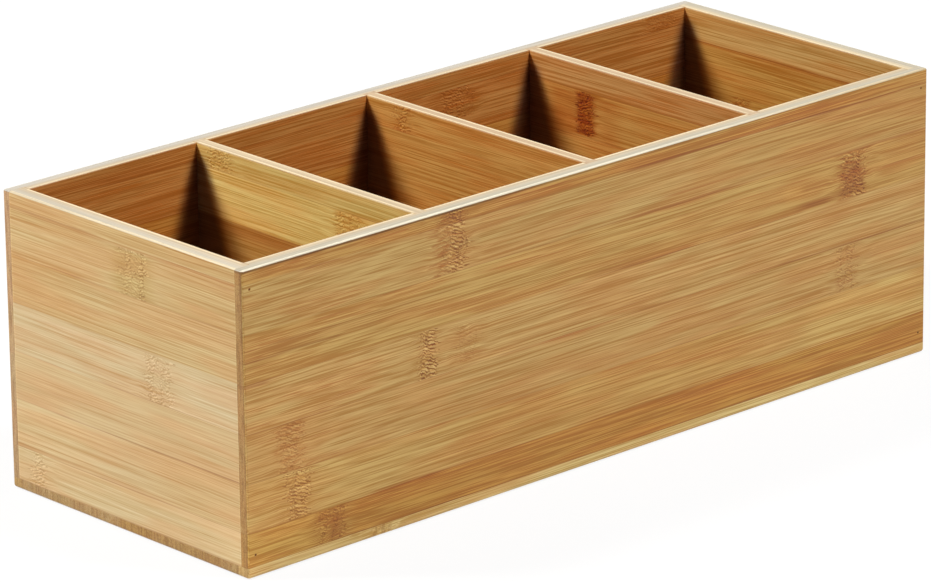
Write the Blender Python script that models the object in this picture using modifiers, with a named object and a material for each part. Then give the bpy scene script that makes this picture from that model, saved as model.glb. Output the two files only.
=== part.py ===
"""Bamboo cutlery caddy: an open box with four compartments.

The long walls are rabbeted at their ends and the end boards seat in the rabbets,
where steel pins driven through the lips hold them. Three dividers stand in
housings across the long walls. A base panel of the full footprint closes the
underside. The glued-up box is trimmed flush and its arrises are eased
afterwards, so the easing runs on over every joint.

Frame: origin under the middle of the base, +X along the length, +Y from the
front wall to the back wall, +Z up. Metres.
"""

import math

import bmesh
import bpy
from mathutils import Matrix, Vector

# Overall size
LENGTH = 0.355
WIDTH = 0.135
HEIGHT = 0.1175

# Board thicknesses
LONG_WALL_THICKNESS = 0.0072
END_BOARD_THICKNESS = 0.0072
DIVIDER_THICKNESS = 0.0056
BASE_THICKNESS = 0.0040

# Joinery
LIP_THICKNESS = 0.0037
HOUSING_DEPTH = 0.0025
GLUE_GAP = 0.0003

# Eased arrises
RIM_EASING = 0.0010
CORNER_EASING = 0.0014
FOOT_EASING = 0.0012
INSIDE_CORNER_RADIUS = 0.0015
ARC_SEGMENTS = 5

# Pins through the rabbet lips
PIN_DIAMETER = 0.0012
PIN_LENGTH = 0.0160
PIN_POINT_LENGTH = 0.0018
PIN_SET_DEPTH = 0.0004
PIN_CLEARANCE = 0.0003
PIN_DROP_FROM_RIM = 0.0075
PIN_RISE_FROM_FLOOR = 0.0088
PIN_SIDES = 12

# Stock left outside the finished faces and trimmed off with the outer form
TRIM_ALLOWANCE = 0.0030

MERGE_DISTANCE = 0.00001
QUARTER_TURN = math.pi / 2

DIVIDER_NAMES = ("left_divider", "middle_divider", "right_divider")

# Places worked out from the sizes above
INNER_LENGTH = LENGTH - 2 * END_BOARD_THICKNESS
INNER_WIDTH = WIDTH - 2 * LONG_WALL_THICKNESS
COMPARTMENTS = len(DIVIDER_NAMES) + 1
COMPARTMENT_LENGTH = (INNER_LENGTH - len(DIVIDER_NAMES) * DIVIDER_THICKNESS) / COMPARTMENTS
COMPARTMENT_PITCH = COMPARTMENT_LENGTH + DIVIDER_THICKNESS
BOARD_FOOT = BASE_THICKNESS + GLUE_GAP
STOCK_TOP = HEIGHT + TRIM_ALLOWANCE


def clear_scene():
    """Removes whatever the scene holds."""
    for old in list(bpy.data.objects):
        bpy.data.objects.remove(old, do_unlink=True)


def new_collection(name):
    """Adds a collection to the scene."""
    collection = bpy.data.collections.new(name)
    bpy.context.scene.collection.children.link(collection)
    return collection


def surface(name, colour, roughness, metallic=0.0):
    """A plain Principled finish."""
    material = bpy.data.materials.new(name)
    material.use_nodes = True
    shader = material.node_tree.nodes["Principled BSDF"]
    shader.inputs["Base Color"].default_value = (*colour, 1.0)
    shader.inputs["Roughness"].default_value = roughness
    shader.inputs["Metallic"].default_value = metallic
    return material


def place(name, mesh, collection):
    """Puts a mesh in the scene under the name of its piece."""
    piece = bpy.data.objects.new(name, mesh)
    collection.objects.link(piece)
    return piece


def box_mesh(name, boxes):
    """A mesh of separate boxes, each given by its lowest and highest corner."""
    shape = bmesh.new()
    for low, high in boxes:
        low, high = Vector(low), Vector(high)
        size = Matrix.Diagonal((*(high - low), 1.0))
        bmesh.ops.create_cube(shape, size=1.0, matrix=Matrix.Translation((low + high) / 2) @ size)
    mesh = bpy.data.meshes.new(name)
    shape.to_mesh(mesh)
    shape.free()
    return mesh


def board(name, low, high, material, collection):
    """A board sawn to the box between two corners."""
    piece = place(name, box_mesh(name, [(low, high)]), collection)
    piece.data.materials.append(material)
    return piece


def as_tool(piece):
    """Marks a cutter or guide, which is no piece of the caddy."""
    piece.hide_render = True
    piece.display_type = "WIRE"
    return piece


def work(piece, operation, tool):
    """Cuts a piece with a tool, or keeps only what lies inside the tool."""
    step = piece.modifiers.new(tool.name, "BOOLEAN")
    step.operation = operation
    step.solver = "EXACT"
    step.object = tool


def ease(piece, tools):
    """Trims an upright board to the outside and eases its part of the rim."""
    work(piece, "INTERSECT", tools["outer_form"])
    work(piece, "DIFFERENCE", tools["rim_easing"])


def rounded_rectangle(half_x, half_y, radius):
    """Corner arcs of a rectangle in plan, anticlockwise from the +X side."""
    radius = min(radius, half_x, half_y)
    points = []
    for quarter, (sign_x, sign_y) in enumerate(((1, 1), (-1, 1), (-1, -1), (1, -1))):
        for step in range(ARC_SEGMENTS + 1):
            angle = QUARTER_TURN * (quarter + step / ARC_SEGMENTS)
            x = sign_x * (half_x - radius) + radius * math.cos(angle)
            y = sign_y * (half_y - radius) + radius * math.sin(angle)
            points.append((x, y))
    return points


def loft(shape, centre_x, sections):
    """Adds a closed solid through rounded rectangles, listed from the lowest up."""
    rings = []
    for half_x, half_y, radius, height in sections:
        outline = rounded_rectangle(half_x, half_y, radius)
        rings.append([shape.verts.new((centre_x + x, y, height)) for x, y in outline])
    for lower, upper in zip(rings, rings[1:]):
        for i, corner in enumerate(lower):
            j = (i + 1) % len(lower)
            shape.faces.new((corner, lower[j], upper[j], upper[i]))
    shape.faces.new(reversed(rings[0]))
    shape.faces.new(rings[-1])


def rounding_profile():
    """Outset and height of the easing's flare, from below its start to above the rim.

    The arc runs from the compartment's wall to the top of the rim. Its first and
    last chords are carried on past their ends, so that the tool leaves the wood
    at a slant on both sides.
    """
    arc = []
    for step in range(ARC_SEGMENTS + 1):
        angle = QUARTER_TURN * step / ARC_SEGMENTS
        outset = RIM_EASING * (1 - math.cos(angle))
        arc.append(Vector((outset, HEIGHT - RIM_EASING * (1 - math.sin(angle)))))
    start = arc[0] - (arc[1] - arc[0])
    end = arc[-1] + (arc[-1] - arc[-2])
    return [start, *arc[1:-1], end, Vector((end.x, STOCK_TOP + TRIM_ALLOWANCE))]


def compartment_centre(index):
    """X of the middle of a compartment, counted from the left end."""
    return (index - (COMPARTMENTS - 1) / 2) * COMPARTMENT_PITCH


def divider_centre(index):
    """X of the middle of a divider, counted from the left end."""
    return (index - (len(DIVIDER_NAMES) - 1) / 2) * COMPARTMENT_PITCH


def rim_easing_tool(collection):
    """The easing inside the rim: one flared plug over each compartment.

    An easing tool can't reach right into an inside corner, so its path has a
    small radius there, and the flare grows that radius as it widens.
    """
    shape = bmesh.new()
    for index in range(COMPARTMENTS):
        sections = []
        for outset, height in rounding_profile():
            sections.append((COMPARTMENT_LENGTH / 2 + outset, INNER_WIDTH / 2 + outset,
                             INSIDE_CORNER_RADIUS + outset, height))
        loft(shape, compartment_centre(index), sections)
    mesh = bpy.data.meshes.new("rim_easing")
    shape.to_mesh(mesh)
    shape.free()
    return as_tool(place("rim_easing", mesh, collection))


def outer_form_tool(collection):
    """The finished outside: a block with eased rim, corners and foot.

    One Bevel works all the arrises, and each edge's weight gives its own width.
    """
    low = (-LENGTH / 2, -WIDTH / 2, 0.0)
    high = (LENGTH / 2, WIDTH / 2, HEIGHT)
    form = place("outer_form", box_mesh("outer_form", [(low, high)]), collection)
    widest = max(RIM_EASING, CORNER_EASING, FOOT_EASING)
    shape = bmesh.new()
    shape.from_mesh(form.data)
    weight = shape.edges.layers.float.new("bevel_weight_edge")
    for edge in shape.edges:
        top, bottom = (max(v.co.z for v in edge.verts), min(v.co.z for v in edge.verts))
        if top - bottom > HEIGHT / 2:
            easing = CORNER_EASING
        elif top > HEIGHT / 2:
            easing = RIM_EASING
        else:
            easing = FOOT_EASING
        edge[weight] = easing / widest
    shape.to_mesh(form.data)
    shape.free()
    bevel = form.modifiers.new("easing", "BEVEL")
    bevel.limit_method = "WEIGHT"
    bevel.width = widest
    bevel.segments = ARC_SEGMENTS
    return as_tool(form)


def housing_tool(collection):
    """Slots across both long walls, one pair for each divider."""
    half = DIVIDER_THICKNESS / 2 + GLUE_GAP
    reach = INNER_WIDTH / 2 + HOUSING_DEPTH
    slots = []
    for index in range(len(DIVIDER_NAMES)):
        x = divider_centre(index)
        slots.append(((x - half, -reach, -TRIM_ALLOWANCE), (x + half, reach, STOCK_TOP + TRIM_ALLOWANCE)))
    return as_tool(place("housings", box_mesh("housings", slots), collection))


def rabbet_tool(collection):
    """Blocks that cut the rabbets at both ends of both long walls."""
    reach = WIDTH / 2 - LIP_THICKNESS
    blocks = []
    for side in (-1, 1):
        shoulder = side * (LENGTH / 2 - END_BOARD_THICKNESS - GLUE_GAP)
        outside = side * (LENGTH / 2 + 2 * TRIM_ALLOWANCE)
        low = (min(shoulder, outside), -reach, -TRIM_ALLOWANCE)
        high = (max(shoulder, outside), reach, STOCK_TOP + TRIM_ALLOWANCE)
        blocks.append((low, high))
    return as_tool(place("rabbets", box_mesh("rabbets", blocks), collection))


def pin_places():
    """Name, side along X, side along Y and height of each pin."""
    places = []
    for face, side_y in (("front", -1), ("back", 1)):
        for end, side_x in (("left", -1), ("right", 1)):
            for level, height in (("upper", HEIGHT - PIN_DROP_FROM_RIM), ("lower", PIN_RISE_FROM_FLOOR)):
                places.append((f"{face}_{end}_{level}_pin", side_x, side_y, height))
    return places


def pin_bore_tool(collection):
    """Bores for all the pins, each through a lip and on into an end board."""
    shape = bmesh.new()
    depth = PIN_SET_DEPTH + PIN_LENGTH + PIN_CLEARANCE
    radius = PIN_DIAMETER / 2 + PIN_CLEARANCE
    length = depth + TRIM_ALLOWANCE
    for _, side_x, side_y, height in pin_places():
        x = side_x * (LENGTH - END_BOARD_THICKNESS) / 2
        y = side_y * (WIDTH / 2 - depth + length / 2)
        turn = Matrix.Rotation(QUARTER_TURN, 4, "X")
        bmesh.ops.create_cone(shape, cap_ends=True, segments=PIN_SIDES, radius1=radius, radius2=radius,
                              depth=length, matrix=Matrix.Translation((x, y, height)) @ turn)
    mesh = bpy.data.meshes.new("pin_bores")
    shape.to_mesh(mesh)
    shape.free()
    return as_tool(place("pin_bores", mesh, collection))


def pin_mesh():
    """A turned pin: its point below, its flat end at the top, on the Z axis."""
    radius = PIN_DIAMETER / 2
    profile = ((0.0, 0.0), (radius, 0.0), (radius, PIN_POINT_LENGTH - PIN_LENGTH), (0.0, -PIN_LENGTH))
    shape = bmesh.new()
    corners = [shape.verts.new((x, 0.0, z)) for x, z in profile]
    for upper, lower in zip(corners, corners[1:]):
        shape.edges.new((upper, lower))
    mesh = bpy.data.meshes.new("pin")
    shape.to_mesh(mesh)
    shape.free()
    return mesh


def add_pins(material, collection):
    """The pins, each on its own bore's axis with its flat end below the face."""
    mesh = pin_mesh()
    mesh.materials.append(material)
    for name, side_x, side_y, height in pin_places():
        pin = place(name, mesh, collection)
        turned = pin.modifiers.new("turned", "SCREW")
        turned.steps = PIN_SIDES
        turned.render_steps = PIN_SIDES
        turned.use_merge_vertices = True
        turned.merge_threshold = MERGE_DISTANCE
        pin.location = (side_x * (LENGTH - END_BOARD_THICKNESS) / 2,
                        side_y * (WIDTH / 2 - PIN_SET_DEPTH), height)
        pin.rotation_euler = (-side_y * QUARTER_TURN, 0.0, 0.0)


def add_long_walls(material, collection, tools):
    """Front and back walls: full length, rabbeted, housed and bored."""
    for name, side in (("front_wall", -1), ("back_wall", 1)):
        inner, outer = side * INNER_WIDTH / 2, side * (WIDTH / 2 + TRIM_ALLOWANCE)
        wall = board(name, (-LENGTH / 2 - TRIM_ALLOWANCE, min(inner, outer), BOARD_FOOT),
                     (LENGTH / 2 + TRIM_ALLOWANCE, max(inner, outer), STOCK_TOP), material, collection)
        for tool in ("rabbets", "housings", "pin_bores"):
            work(wall, "DIFFERENCE", tools[tool])
        ease(wall, tools)


def add_end_boards(material, collection, tools):
    """End boards: between the lips of the long walls, bored for the pins."""
    reach = WIDTH / 2 - LIP_THICKNESS - GLUE_GAP
    for name, side in (("left_end_board", -1), ("right_end_board", 1)):
        inner, outer = side * INNER_LENGTH / 2, side * (LENGTH / 2 + TRIM_ALLOWANCE)
        end = board(name, (min(inner, outer), -reach, BOARD_FOOT),
                    (max(inner, outer), reach, STOCK_TOP), material, collection)
        work(end, "DIFFERENCE", tools["pin_bores"])
        ease(end, tools)


def add_dividers(material, collection, tools):
    """Dividers: flush with the rim, their ends in the housings."""
    reach = INNER_WIDTH / 2 + HOUSING_DEPTH - GLUE_GAP
    half = DIVIDER_THICKNESS / 2
    for index, name in enumerate(DIVIDER_NAMES):
        x = divider_centre(index)
        divider = board(name, (x - half, -reach, BOARD_FOOT),
                        (x + half, reach, STOCK_TOP), material, collection)
        ease(divider, tools)


def add_base(material, collection, tools):
    """Base panel under all the boards, its edges flush with the walls."""
    stock_x, stock_y = LENGTH / 2 + TRIM_ALLOWANCE, WIDTH / 2 + TRIM_ALLOWANCE
    base = board("base_panel", (-stock_x, -stock_y, -TRIM_ALLOWANCE),
                 (stock_x, stock_y, BASE_THICKNESS), material, collection)
    work(base, "INTERSECT", tools["outer_form"])


def build_caddy():
    """Makes the finishes, the tools and every piece of the caddy."""
    clear_scene()
    pieces = new_collection("cutlery_caddy")
    tool_box = new_collection("cutting_tools")
    makers = (rim_easing_tool, outer_form_tool, housing_tool, rabbet_tool, pin_bore_tool)
    made = [make(tool_box) for make in makers]
    tools = {tool.name: tool for tool in made}

    wall_bamboo = surface("wall_bamboo", (0.47, 0.27, 0.11), 0.42)
    end_bamboo = surface("end_bamboo", (0.62, 0.41, 0.20), 0.42)
    divider_bamboo = surface("divider_bamboo", (0.52, 0.30, 0.11), 0.42)
    base_bamboo = surface("base_bamboo", (0.58, 0.40, 0.18), 0.45)
    pin_steel = surface("pin_steel", (0.16, 0.11, 0.08), 0.45, 1.0)

    add_base(base_bamboo, pieces, tools)
    add_long_walls(wall_bamboo, pieces, tools)
    add_end_boards(end_bamboo, pieces, tools)
    add_dividers(divider_bamboo, pieces, tools)
    add_pins(pin_steel, pieces)


build_caddy()
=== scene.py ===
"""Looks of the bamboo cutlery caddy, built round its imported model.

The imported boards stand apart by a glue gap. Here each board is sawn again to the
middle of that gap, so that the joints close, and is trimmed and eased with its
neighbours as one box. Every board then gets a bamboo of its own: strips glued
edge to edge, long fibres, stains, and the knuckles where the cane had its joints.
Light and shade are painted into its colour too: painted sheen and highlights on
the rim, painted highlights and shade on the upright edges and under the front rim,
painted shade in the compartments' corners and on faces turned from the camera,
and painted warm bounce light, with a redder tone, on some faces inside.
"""

import logging
import math
from dataclasses import dataclass, field
from enum import Enum

import bmesh
import bpy
from mathutils import Matrix, Vector


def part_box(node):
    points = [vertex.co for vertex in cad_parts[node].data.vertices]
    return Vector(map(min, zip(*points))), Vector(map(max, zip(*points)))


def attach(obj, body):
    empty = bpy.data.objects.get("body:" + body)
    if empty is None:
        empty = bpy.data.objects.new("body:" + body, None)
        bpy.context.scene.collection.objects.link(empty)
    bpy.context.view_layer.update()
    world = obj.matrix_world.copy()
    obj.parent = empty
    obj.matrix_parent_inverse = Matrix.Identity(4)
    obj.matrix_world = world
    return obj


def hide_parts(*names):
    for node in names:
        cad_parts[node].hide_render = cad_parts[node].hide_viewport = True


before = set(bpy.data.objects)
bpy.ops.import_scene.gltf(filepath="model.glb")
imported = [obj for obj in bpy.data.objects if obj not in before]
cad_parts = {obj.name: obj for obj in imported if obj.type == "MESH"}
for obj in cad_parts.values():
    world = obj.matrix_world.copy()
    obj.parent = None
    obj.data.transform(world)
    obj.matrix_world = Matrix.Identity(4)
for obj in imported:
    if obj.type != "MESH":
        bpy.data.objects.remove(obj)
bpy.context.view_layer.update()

LOG = logging.getLogger("cutlery_caddy")

Colour = tuple[float, float, float]

# Real sizes are metres here and millimetres inside the bamboo's pattern
MILLIMETRES = 1000.0

BODY = "root"
ARC_SEGMENTS = 8
QUARTER_TURN = math.pi / 2
MERGE_DISTANCE = 0.000004
SMOOTHING_ANGLE = math.radians(28)
TRIM_ALLOWANCE = 0.0030

DIVIDERS = ("left_divider", "middle_divider", "right_divider")


def srgb(red: int, green: int, blue: int) -> Colour:
    """Turns a colour as seen on a screen, 0 to 255, into the linear one of a shader.

    Args:
        red: Red part.
        green: Green part.
        blue: Blue part.

    Returns:
        The linear colour.
    """
    parts = []
    for part in (red, green, blue):
        part = part / 255
        parts.append(part / 12.92 if part <= 0.04045 else ((part + 0.055) / 1.055) ** 2.4)
    return tuple(parts)


# Node trees


@dataclass(frozen=True)
class Wire:
    """An output socket that joins in sums by adding nodes to its tree."""

    graph: "Graph"
    socket: bpy.types.NodeSocket

    def __add__(self, other: "Operand") -> "Wire":
        """Sum."""
        return self.graph.combine("ADD", self, other)

    def __radd__(self, other: "Operand") -> "Wire":
        """Sum with the wire on the right."""
        return self.graph.combine("ADD", other, self)

    def __sub__(self, other: "Operand") -> "Wire":
        """Difference."""
        return self.graph.combine("SUBTRACT", self, other)

    def __rsub__(self, other: "Operand") -> "Wire":
        """Difference with the wire on the right."""
        return self.graph.combine("SUBTRACT", other, self)

    def __mul__(self, other: "Operand") -> "Wire":
        """Product."""
        return self.graph.combine("MULTIPLY", self, other)

    def __rmul__(self, other: "Operand") -> "Wire":
        """Product with the wire on the right."""
        return self.graph.combine("MULTIPLY", other, self)

    def __truediv__(self, other: "Operand") -> "Wire":
        """Quotient."""
        return self.graph.combine("DIVIDE", self, other)

    def __abs__(self) -> "Wire":
        """Size without the sign."""
        return self.graph.maths("ABSOLUTE", self)

    def above(self, limit: "Operand") -> "Wire":
        """One where the value is above a limit, else nought."""
        return self.graph.maths("GREATER_THAN", self, limit)

    def larger(self, other: "Operand") -> "Wire":
        """The larger of two values."""
        return self.graph.maths("MAXIMUM", self, other)

    def smaller(self, other: "Operand") -> "Wire":
        """The smaller of two values."""
        return self.graph.maths("MINIMUM", self, other)

    def rise(self, low: float, high: float) -> "Wire":
        """Smooth rise from nought at the low value to one at the high value."""
        sockets = {"Value": self, "From Min": low, "From Max": high}
        return self.graph.wire("ShaderNodeMapRange", {"interpolation_type": "SMOOTHSTEP"}, sockets)

    def fall(self, low: float, high: float) -> "Wire":
        """Smooth fall from one at the low value to nought at the high value."""
        return 1 - self.rise(low, high)


Operand = Wire | float | tuple


class Graph:
    """A node tree under construction, for a material, the world or geometry."""

    def __init__(self, tree: bpy.types.NodeTree) -> None:
        """Empties the tree that it will fill."""
        self.tree = tree
        self.tree.nodes.clear()

    def node(self, kind: str, settings: dict | None = None, sockets: dict | None = None) -> bpy.types.Node:
        """Adds any node.

        Args:
            kind: The node's type.
            settings: Its own settings, set first.
            sockets: Values or wires for its inputs, by name, or by number among the inputs shown.

        Returns:
            The node.
        """
        node = self.tree.nodes.new(kind)
        for name, value in (settings or {}).items():
            setattr(node, name, value)
        for key, value in (sockets or {}).items():
            self.feed(self.pick(node.inputs, key), value)
        return node

    def wire(self, kind: str, settings: dict | None = None, sockets: dict | None = None) -> Wire:
        """First output of a new node, which takes what node() takes."""
        return self.out(self.node(kind, settings, sockets))

    @staticmethod
    def pick(sockets: bpy.types.bpy_prop_collection, key: str | int) -> bpy.types.NodeSocket:
        """Finds a socket among those that the node shows.

        Args:
            sockets: The node's inputs or outputs.
            key: The socket's name, or its number.

        Returns:
            The socket.
        """
        shown = [socket for socket in sockets if socket.enabled]
        if isinstance(key, int):
            return shown[key]
        return next(socket for socket in shown if socket.name == key)

    def feed(self, socket: bpy.types.NodeSocket, value: object) -> None:
        """Links or sets one input.

        Args:
            socket: The input.
            value: A wire, a list of wires for an input that takes several, or a plain value.
        """
        if isinstance(value, list):
            for wire in value:
                self.feed(socket, wire)
        elif isinstance(value, Wire):
            self.tree.links.new(value.socket, socket)
        elif socket.type == "RGBA" and len(value) == 3:
            socket.default_value = (*value, 1.0)
        else:
            socket.default_value = value

    def out(self, node: bpy.types.Node, key: str | int = 0) -> Wire:
        """Wire from one of a node's outputs."""
        return Wire(self, self.pick(node.outputs, key))

    def combine(self, operation: str, first: Operand, second: Operand) -> Wire:
        """Joins two operands with the node that suits their kind.

        Args:
            operation: The name of the sum.
            first: Left operand.
            second: Right operand.

        Returns:
            The result.
        """
        kinds = {part.socket.type for part in (first, second) if isinstance(part, Wire)}
        if not kinds & {"RGBA", "VECTOR"}:
            return self.maths(operation, first, second)
        left, right = (self.as_triple(part) for part in (first, second))
        if "RGBA" in kinds:
            return self.mix(1.0, left, right, operation)
        return self.wire("ShaderNodeVectorMath", {"operation": operation}, {0: left, 1: right})

    @staticmethod
    def as_triple(part: Operand) -> Wire | tuple:
        """Spreads a plain number over three parts and leaves the rest."""
        return (part, part, part) if isinstance(part, (int, float)) else part

    def maths(self, operation: str, *parts: Operand) -> Wire:
        """Math node on numbers."""
        return self.wire("ShaderNodeMath", {"operation": operation}, dict(enumerate(parts)))

    def mix(self, factor: Operand, first: Operand, second: Operand, blend: str = "MIX") -> Wire:
        """Colour between two colours, or the second one laid on the first by another blend."""
        sockets = {"Factor": factor, "A": first, "B": second}
        return self.wire("ShaderNodeMix", {"data_type": "RGBA", "blend_type": blend}, sockets)

    def split(self, vector: Wire) -> tuple[Wire, Wire, Wire]:
        """The three parts of a vector."""
        node = self.node("ShaderNodeSeparateXYZ", {}, {"Vector": vector})
        return tuple(self.out(node, part) for part in "XYZ")

    def join(self, x: Operand, y: Operand, z: Operand) -> Wire:
        """A vector from three parts."""
        return self.wire("ShaderNodeCombineXYZ", {}, {"X": x, "Y": y, "Z": z})

    def noise(self, vector: Wire, detail: float = 1.0, roughness: float = 0.5,
              distortion: float = 0.0) -> Wire:
        """Soft noise whose grains are one unit of the vector wide.

        Args:
            vector: Where the noise is read.
            detail: Number of finer layers.
            roughness: Weight of the finer layers.
            distortion: How far the noise is bent by itself.

        Returns:
            The noise, about one half on average.
        """
        sockets = {"Vector": vector, "Scale": 1.0, "Detail": detail, "Roughness": roughness,
                   "Distortion": distortion}
        return self.wire("ShaderNodeTexNoise", {}, sockets)

    def bump(self, height: Wire, strength: float, distance: float) -> Wire:
        """Normal of a surface with small rises, given in metres."""
        return self.wire("ShaderNodeBump", {}, {"Strength": strength, "Distance": distance, "Height": height})


class MaterialGraph(Graph):
    """The tree of a new material, read in millimetres on the object."""

    def __init__(self, name: str) -> None:
        """Starts the material.

        Args:
            name: The material's name.
        """
        self.material = bpy.data.materials.new(name)
        self.material.use_nodes = True
        super().__init__(self.material.node_tree)
        place = self.node("ShaderNodeTexCoord")
        self.point = self.out(place, "Object") * MILLIMETRES
        self.normal = self.out(place, "Normal")

    def finish(self, sockets: dict) -> bpy.types.Material:
        """Ends the tree with the surface shader.

        Args:
            sockets: Values or wires for the shader's inputs.

        Returns:
            The material.
        """
        surface = self.wire("ShaderNodeBsdfPrincipled", {}, sockets)
        self.node("ShaderNodeOutputMaterial", {}, {"Surface": surface})
        return self.material


class ShapeGraph(Graph):
    """A geometry tree with named inputs, which makes one mesh each time that it is run."""

    def __init__(self, name: str) -> None:
        """Starts the tree.

        Args:
            name: The tree's name.
        """
        super().__init__(bpy.data.node_groups.new(name, "GeometryNodeTree"))
        self.tree.interface.new_socket(name="Shape", in_out="OUTPUT", socket_type="NodeSocketGeometry")
        self.keys: dict[str, str] = {}
        self.values: dict[str, object] = {}

    def take(self, label: str, kind: str, value: object = None) -> Wire:
        """Adds a named input.

        Args:
            label: The input's name.
            kind: The type of its socket, without its first words.
            value: Its value, unless each run gives it one.

        Returns:
            The input's wire.
        """
        socket = self.tree.interface.new_socket(name=label, in_out="INPUT", socket_type="NodeSocket" + kind)
        self.keys[label] = socket.identifier
        if value is not None:
            self.values[label] = value
        return self.out(self.node("NodeGroupInput"), label)

    def step(self, kind: str, settings: dict | None = None, **sockets: object) -> Wire:
        """First output of a new geometry node; underlines stand for spaces in its inputs' names."""
        named = {label.replace("_", " "): value for label, value in sockets.items()}
        return self.wire("GeometryNode" + kind, settings, named)

    def object_shape(self, given: Wire) -> Wire:
        """Geometry of the object that an input gives."""
        return self.out(self.node("GeometryNodeObjectInfo", {}, {"Object": given}), "Geometry")

    def close(self, shape: Wire, **finish: Wire) -> None:
        """Ends the tree: makes instances real and sets their material, where one is given."""
        real = self.step("RealizeInstances", Geometry=shape)
        self.node("NodeGroupOutput", {}, {"Shape": self.step("SetMaterial", Geometry=real, **finish)})

    def grow(self, name: str, values: dict[str, object] | None = None,
             weigh_normals: bool = False) -> bpy.types.Object:
        """Runs the tree and keeps its result as a plain mesh.

        Args:
            name: Name of the finished object.
            values: This run's values for the tree's inputs, by their names.
            weigh_normals: Whether flat faces keep their shading beside eased edges.

        Returns:
            The finished object, without modifiers.
        """
        seedling = link(name + "_tree", bpy.data.meshes.new(name + "_tree"))
        run = seedling.modifiers.new("tree", "NODES")
        run.node_group = self.tree
        for label, value in (self.values | (values or {})).items():
            run[self.keys[label]] = value
        if weigh_normals:
            weigh = seedling.modifiers.new("normals", "WEIGHTED_NORMAL")
            weigh.keep_sharp = True
        mesh = evaluated_mesh(seedling)
        mesh.name = name
        return link(name, mesh)


# Bamboo


class Grain(Enum):
    """Which way a board's fibres run, and which way its strips lie side by side."""

    LENGTHWISE_UPRIGHT = (0, 2, 1)
    CROSSWISE_UPRIGHT = (1, 2, 0)
    LENGTHWISE_FLAT = (0, 1, 2)


@dataclass(frozen=True)
class Span:
    """A stretch in one direction, in millimetres."""

    start: float
    end: float

    @property
    def middle(self) -> float:
        """Middle of the stretch."""
        return (self.start + self.end) / 2

    @property
    def half(self) -> float:
        """Half of its length."""
        return abs(self.end - self.start) / 2


@dataclass(frozen=True)
class Stain:
    """A streak of another colour that follows the fibres, in millimetres, or a line of painted shade laid the
    same way.
    """

    along: Span
    across: Span
    tint: Colour
    strength: float
    end_softness: float = 14.0
    side_softness: float = 1.4


@dataclass(frozen=True)
class Knuckle:
    """The scar across one strip where the cane had a joint, in millimetres."""

    along: Span
    across: Span
    relief: float
    stain: float = 0.3


# Tints multiply the colour that they fall on
RED_BROWN = (0.80, 0.54, 0.32)
KNUCKLE_RED = (0.66, 0.36, 0.12)
DEEP_BROWN = (0.62, 0.44, 0.30)
# painted shade: a dark line along the front rim's rounded outer arris
OUTER_ARRIS_PAINTED_SHADE = (0.36, 0.28, 0.18)
ORANGE = (0.95, 0.80, 0.58)
PALE = (1.12, 1.16, 1.18)
# painted highlight on an upright corner's rounded edge
PAINTED_HIGHLIGHT_ON_UPRIGHT_EDGE = (1.35, 1.42, 1.50)
# painted shade on an upright corner's rounded edge
PAINTED_SHADE_ON_UPRIGHT_EDGE = (0.72, 0.82, 0.98)
# painted shade on the rounded arris just under the rim's top
ROUNDED_ARRIS_PAINTED_SHADE = (0.60, 0.60, 0.60)
OLIVE = (0.980, 1.025, 1.045)
ROSY = (1.020, 0.965, 0.935)
OLIVE_SCAR = (0.90, 0.89, 0.70)
DARK_FIBRE = (0.80, 0.66, 0.42)
PALE_FIBRE = (1.22, 1.37, 1.66)
DARK_LINE = (0.72, 0.52, 0.34)
RED_LINE = (0.76, 0.53, 0.26)
DARK_STROKE = (0.47, 0.23, 0.00)
FAINT_STROKE = (0.62, 0.50, 0.26)
PALE_STROKE = (1.36, 1.48, 1.70)
# painted shade: darkens the compartments' upright corners like a shadow wedge
PAINTED_CORNER_SHADE = (0.25, 0.23, 0.46)
# painted shade: darkens board faces turned from the camera, so that they bounce less light into the corners
HIDDEN_SIDE_PAINTED_SHADE = (0.84, 0.74, 0.60)
# partly a redder tone of the inner faces, partly painted warm bounce light between the compartments' walls
WARM_TONE_AND_PAINTED_BOUNCE = (1.0, 0.90, 0.74)


@dataclass(frozen=True)
class Faces:
    """Where a board's faces lie through its thickness, in millimetres, which of them gets a tint of painted
    light, and how far the painted corner shade reaches.
    """

    inner: tuple[float, ...]
    outer: float | None
    tinted: Span
    tint: Colour
    corner_reach: float
    corner_growth: float


@dataclass(frozen=True)
class Rim:
    """Colours of a board's top, which paint its sheen: a painted sheen greyer towards the outside, and
    painted highlights as paler lines along its arrises.
    """

    height: float = 117.5
    # painted sheen of the rim's top, inside and outside
    inner_tone: Colour = srgb(172, 152, 122)
    outer_tone: Colour = srgb(161, 152, 132)
    # painted highlights along the arrises; the warm line is a warmer painted highlight where the warming runs
    inner_line: Colour = srgb(202, 183, 146)
    outer_line: Colour = srgb(208, 199, 176)
    warm_line: Colour = srgb(184, 166, 132)
    warming: Span | None = None


@dataclass(frozen=True)
class Bamboo:
    """One board's bamboo: strips glued edge to edge, with their fibres and marks."""

    name: str
    grain: Grain
    joints: tuple[float, ...]
    tones: tuple[Colour, ...]
    knuckles: tuple[Knuckle, ...] = ()
    stains: tuple[Stain, ...] = ()
    seed: float = 0.0
    boldness: tuple[float, ...] = ()
    fine_contrast: float = 2.2
    thread_contrast: float = 3.0
    cord_contrast: float = 0.70
    band_contrast: float = 0.40
    line_strength: float = 1.0
    line_tint: Colour = DARK_LINE
    stroke_tint: Colour = DARK_STROKE
    dashed: Span | None = None
    faces: Faces | None = None
    edge_tints: tuple[Colour, Colour] | None = None
    end_tone: Colour = srgb(152, 120, 70)
    rim: Rim = Rim()
    fibre_width: float = 0.42
    rib_pitch: float = 1.4
    specular: float = 0.3
    coat_weight: float = 0.06
    coat_roughness: float = 0.32

    def material(self) -> bpy.types.Material:
        """Builds the board's material."""
        return BambooShader(self).finished()


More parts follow.
